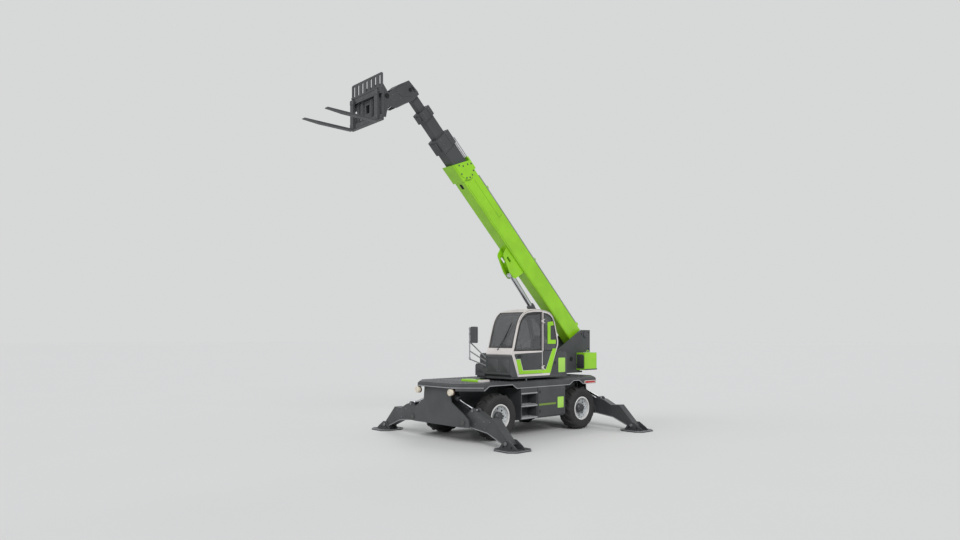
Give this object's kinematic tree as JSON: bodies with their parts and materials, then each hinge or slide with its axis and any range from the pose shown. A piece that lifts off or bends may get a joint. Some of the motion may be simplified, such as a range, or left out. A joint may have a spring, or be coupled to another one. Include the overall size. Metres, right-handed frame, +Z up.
{
  "type": "rotating telehandler",
  "caption": "Rotating telehandler on stabiliser legs, with slewing cab, raised telescopic boom and fork carriage.",
  "frame": {"origin": "on the floor under the slewing axis, midway between the axles", "axes": "+X forward along the boom, +Y to the operator's left, +Z up"},
  "size_m": [9.0103, 5.58, 8.6133],
  "materials": {
    "dark_paint": "satin",
    "green_paint": "gloss",
    "white_paint": "gloss",
    "silver_paint": "satin",
    "bare_steel": "satin",
    "iron": "matte",
    "chrome_rod": "gloss",
    "tinted_glass": "gloss",
    "lamp_lens": "gloss",
    "seat_cover": "matte",
    "cab_plastic": "matte",
    "tyre_rubber": "matte"
  },
  "bodies": {
    "chassis": {"chassis_frame": "dark_paint", "slew_ring": "bare_steel", "deck": "dark_paint", "stabiliser_housings": "dark_paint", "axle_housings": "dark_paint", "drive_shaft": "bare_steel", "side_boxes": "dark_paint", "lamps": "lamp_lens", "deck_cover": "green_paint"},
    "turret": {"turret_frame": "dark_paint", "engine_hood": "dark_paint", "engine": "iron", "cabinet": "dark_paint", "front_box": "dark_paint", "mirror_arm": "dark_paint", "counterweight": "green_paint", "cab_frame": "white_paint", "cab_glass": "tinted_glass", "operator_seat": "seat_cover", "cab_console": "cab_plastic"},
    "cab_door": {"cab_door": "white_paint", "cab_door_glass": "tinted_glass"},
    "boom": {"boom_base": "green_paint"},
    "boom_two": {"boom_section_two": "dark_paint"},
    "boom_three": {"boom_section_three": "dark_paint"},
    "boom_head": {"boom_head": "dark_paint"},
    "carriage": {"fork_carriage": "dark_paint", "fork_tines": "dark_paint"},
    "lift_barrel": {"lift_barrel": "dark_paint"},
    "lift_rod": {"lift_rod": "chrome_rod"},
    "tilt_barrel": {"tilt_barrel": "dark_paint"},
    "tilt_rod": {"tilt_rod": "chrome_rod"},
    "knuckle_front_left": {"knuckle_front_left": "dark_paint"},
    "leg_front_left": {"leg_front_left": "dark_paint", "foot_front_left": "dark_paint"},
    "leg_barrel_front_left": {"leg_barrel_front_left": "dark_paint"},
    "leg_rod_front_left": {"leg_rod_front_left": "chrome_rod"},
    "wheel_front_left": {"rim_front_left": "silver_paint", "tyre_front_left": "tyre_rubber"},
    "knuckle_front_right": {"knuckle_front_right": "dark_paint"},
    "leg_front_right": {"leg_front_right": "dark_paint", "foot_front_right": "dark_paint"},
    "leg_barrel_front_right": {"leg_barrel_front_right": "dark_paint"},
    "leg_rod_front_right": {"leg_rod_front_right": "chrome_rod"},
    "wheel_front_right": {"rim_front_right": "silver_paint", "tyre_front_right": "tyre_rubber"},
    "knuckle_rear_left": {"knuckle_rear_left": "dark_paint"},
    "leg_rear_left": {"leg_rear_left": "dark_paint", "foot_rear_left": "dark_paint"},
    "leg_barrel_rear_left": {"leg_barrel_rear_left": "dark_paint"},
    "leg_rod_rear_left": {"leg_rod_rear_left": "chrome_rod"},
    "wheel_rear_left": {"rim_rear_left": "silver_paint", "tyre_rear_left": "tyre_rubber"},
    "knuckle_rear_right": {"knuckle_rear_right": "dark_paint"},
    "leg_rear_right": {"leg_rear_right": "dark_paint", "foot_rear_right": "dark_paint"},
    "leg_barrel_rear_right": {"leg_barrel_rear_right": "dark_paint"},
    "leg_rod_rear_right": {"leg_rod_rear_right": "chrome_rod"},
    "wheel_rear_right": {"rim_rear_right": "silver_paint", "tyre_rear_right": "tyre_rubber"}
  },
  "joints": [
    {"name": "slew", "type": "hinge", "parent": "chassis", "child": "turret", "pos_m": [0, 0, 1.49], "axis": [0, 0, 1], "continuous": true},
    {"name": "cab_door_hinge", "type": "hinge", "parent": "turret", "child": "cab_door", "pos_m": [0.06, 1.238, 2.3], "axis": [0, 0, 1], "range_deg": [0, 110]},
    {"name": "boom_luff", "type": "hinge", "parent": "turret", "child": "boom", "pos_m": [-2.8, 0, 2.6], "axis": [0, -1, 0], "range_deg": [-46, 28]},
    {"name": "boom_extend_two", "type": "slide", "parent": "boom", "child": "boom_two", "axis": [0.7193, 0, 0.6947], "range_m": [-0.3, 3.7]},
    {"name": "boom_extend_three", "type": "slide", "parent": "boom_two", "child": "boom_three", "axis": [0.7193, 0, 0.6947], "range_m": [-0.285, 3.515]},
    {"name": "boom_extend_head", "type": "slide", "parent": "boom_three", "child": "boom_head", "axis": [0.7193, 0, 0.6947], "range_m": [-0.27, 3.33]},
    {"name": "carriage_tilt", "type": "hinge", "parent": "boom_head", "child": "carriage", "pos_m": [4.21946, 0, 8.08993], "axis": [0, -1, 0], "range_deg": [-50, 45]},
    {"name": "lift_cylinder_swing", "type": "hinge", "parent": "turret", "child": "lift_barrel", "pos_m": [-2.15, 0, 1.9], "axis": [0, -1, 0], "range_deg": [-47.12, 28.69]},
    {"name": "lift_cylinder_stroke", "type": "slide", "parent": "lift_barrel", "child": "lift_rod", "axis": [0.6773, 0, 0.7357], "range_m": [-0.709, 0.432]},
    {"name": "tilt_cylinder_swing", "type": "hinge", "parent": "boom_head", "child": "tilt_barrel", "pos_m": [3.52967, 0, 8.39971], "axis": [0, -1, 0], "range_deg": [-16.36, 14.73]},
    {"name": "tilt_cylinder_stroke", "type": "slide", "parent": "tilt_barrel", "child": "tilt_rod", "axis": [0.7211, 0, -0.6928], "range_m": [-0.226, 0.203]},
    {"name": "steer_front_left", "type": "hinge", "parent": "chassis", "child": "knuckle_front_left", "pos_m": [1.57, 0.83, 0.575], "axis": [0, 0, 1], "range_deg": [-32, 32]},
    {"name": "wheel_spin_front_left", "type": "hinge", "parent": "knuckle_front_left", "child": "wheel_front_left", "pos_m": [1.57, 1.005, 0.575], "axis": [0, 1, 0], "continuous": true},
    {"name": "leg_fold_front_left", "type": "hinge", "parent": "chassis", "child": "leg_front_left", "pos_m": [2.385, 0.98, 0.5], "axis": [1, 0, 0], "range_deg": [0, 65]},
    {"name": "leg_cylinder_front_left_swing", "type": "hinge", "parent": "chassis", "child": "leg_barrel_front_left", "pos_m": [2.385, 0.06, 1.225], "axis": [1, 0, 0], "range_deg": [-4.85, 0]},
    {"name": "leg_cylinder_front_left_stroke", "type": "slide", "parent": "leg_barrel_front_left", "child": "leg_rod_front_left", "axis": [0, 0.937, -0.3493], "range_m": [-0.389, 0]},
    {"name": "steer_front_right", "type": "hinge", "parent": "chassis", "child": "knuckle_front_right", "pos_m": [1.57, -0.83, 0.575], "axis": [0, 0, 1], "range_deg": [-32, 32]},
    {"name": "wheel_spin_front_right", "type": "hinge", "parent": "knuckle_front_right", "child": "wheel_front_right", "pos_m": [1.57, -1.005, 0.575], "axis": [0, 1, 0], "continuous": true},
    {"name": "leg_fold_front_right", "type": "hinge", "parent": "chassis", "child": "leg_front_right", "pos_m": [2.385, -0.98, 0.5], "axis": [-1, 0, 0], "range_deg": [0, 65]},
    {"name": "leg_cylinder_front_right_swing", "type": "hinge", "parent": "chassis", "child": "leg_barrel_front_right", "pos_m": [2.385, -0.06, 1.225], "axis": [-1, 0, 0], "range_deg": [-4.85, 0]},
    {"name": "leg_cylinder_front_right_stroke", "type": "slide", "parent": "leg_barrel_front_right", "child": "leg_rod_front_right", "axis": [0, -0.937, -0.3493], "range_m": [-0.389, 0]},
    {"name": "steer_rear_left", "type": "hinge", "parent": "chassis", "child": "knuckle_rear_left", "pos_m": [-1.57, 0.83, 0.575], "axis": [0, 0, 1], "range_deg": [-32, 32]},
    {"name": "wheel_spin_rear_left", "type": "hinge", "parent": "knuckle_rear_left", "child": "wheel_rear_left", "pos_m": [-1.57, 1.005, 0.575], "axis": [0, 1, 0], "continuous": true},
    {"name": "leg_fold_rear_left", "type": "hinge", "parent": "chassis", "child": "leg_rear_left", "pos_m": [-2.385, 0.98, 0.5], "axis": [1, 0, 0], "range_deg": [0, 65]},
    {"name": "leg_cylinder_rear_left_swing", "type": "hinge", "parent": "chassis", "child": "leg_barrel_rear_left", "pos_m": [-2.385, 0.06, 1.225], "axis": [1, 0, 0], "range_deg": [-4.85, 0]},
    {"name": "leg_cylinder_rear_left_stroke", "type": "slide", "parent": "leg_barrel_rear_left", "child": "leg_rod_rear_left", "axis": [0, 0.937, -0.3493], "range_m": [-0.389, 0]},
    {"name": "steer_rear_right", "type": "hinge", "parent": "chassis", "child": "knuckle_rear_right", "pos_m": [-1.57, -0.83, 0.575], "axis": [0, 0, 1], "range_deg": [-32, 32]},
    {"name": "wheel_spin_rear_right", "type": "hinge", "parent": "knuckle_rear_right", "child": "wheel_rear_right", "pos_m": [-1.57, -1.005, 0.575], "axis": [0, 1, 0], "continuous": true},
    {"name": "leg_fold_rear_right", "type": "hinge", "parent": "chassis", "child": "leg_rear_right", "pos_m": [-2.385, -0.98, 0.5], "axis": [-1, 0, 0], "range_deg": [0, 65]},
    {"name": "leg_cylinder_rear_right_swing", "type": "hinge", "parent": "chassis", "child": "leg_barrel_rear_right", "pos_m": [-2.385, -0.06, 1.225], "axis": [-1, 0, 0], "range_deg": [-4.85, 0]},
    {"name": "leg_cylinder_rear_right_stroke", "type": "slide", "parent": "leg_barrel_rear_right", "child": "leg_rod_rear_right", "axis": [0, -0.937, -0.3493], "range_m": [-0.389, 0]}
  ],
  "couplings": [
    {"joint": "boom_extend_three", "follows": "boom_extend_two", "ratio": 0.95},
    {"joint": "boom_extend_head", "follows": "boom_extend_two", "ratio": 0.9},
    {"joint": "lift_cylinder_swing", "follows": "boom_luff", "ratio": 1.024},
    {"joint": "lift_cylinder_stroke", "follows": "boom_luff", "m_per_rad": 0.88138},
    {"joint": "tilt_cylinder_swing", "follows": "carriage_tilt", "ratio": 0.32695},
    {"joint": "tilt_cylinder_stroke", "follows": "carriage_tilt", "m_per_rad": 0.25709},
    {"joint": "leg_cylinder_front_left_swing", "follows": "leg_fold_front_left", "ratio": -0.07434},
    {"joint": "leg_cylinder_front_left_stroke", "follows": "leg_fold_front_left", "m_per_rad": -0.3414},
    {"joint": "leg_cylinder_front_right_swing", "follows": "leg_fold_front_right", "ratio": -0.07434},
    {"joint": "leg_cylinder_front_right_stroke", "follows": "leg_fold_front_right", "m_per_rad": -0.3414},
    {"joint": "leg_cylinder_rear_left_swing", "follows": "leg_fold_rear_left", "ratio": -0.07434},
    {"joint": "leg_cylinder_rear_left_stroke", "follows": "leg_fold_rear_left", "m_per_rad": -0.3414},
    {"joint": "leg_cylinder_rear_right_swing", "follows": "leg_fold_rear_right", "ratio": -0.07434},
    {"joint": "leg_cylinder_rear_right_stroke", "follows": "leg_fold_rear_right", "m_per_rad": -0.3414},
    {"joint": "steer_front_right", "follows": "steer_front_left", "ratio": 1},
    {"joint": "steer_rear_right", "follows": "steer_rear_left", "ratio": 1}
  ]
}
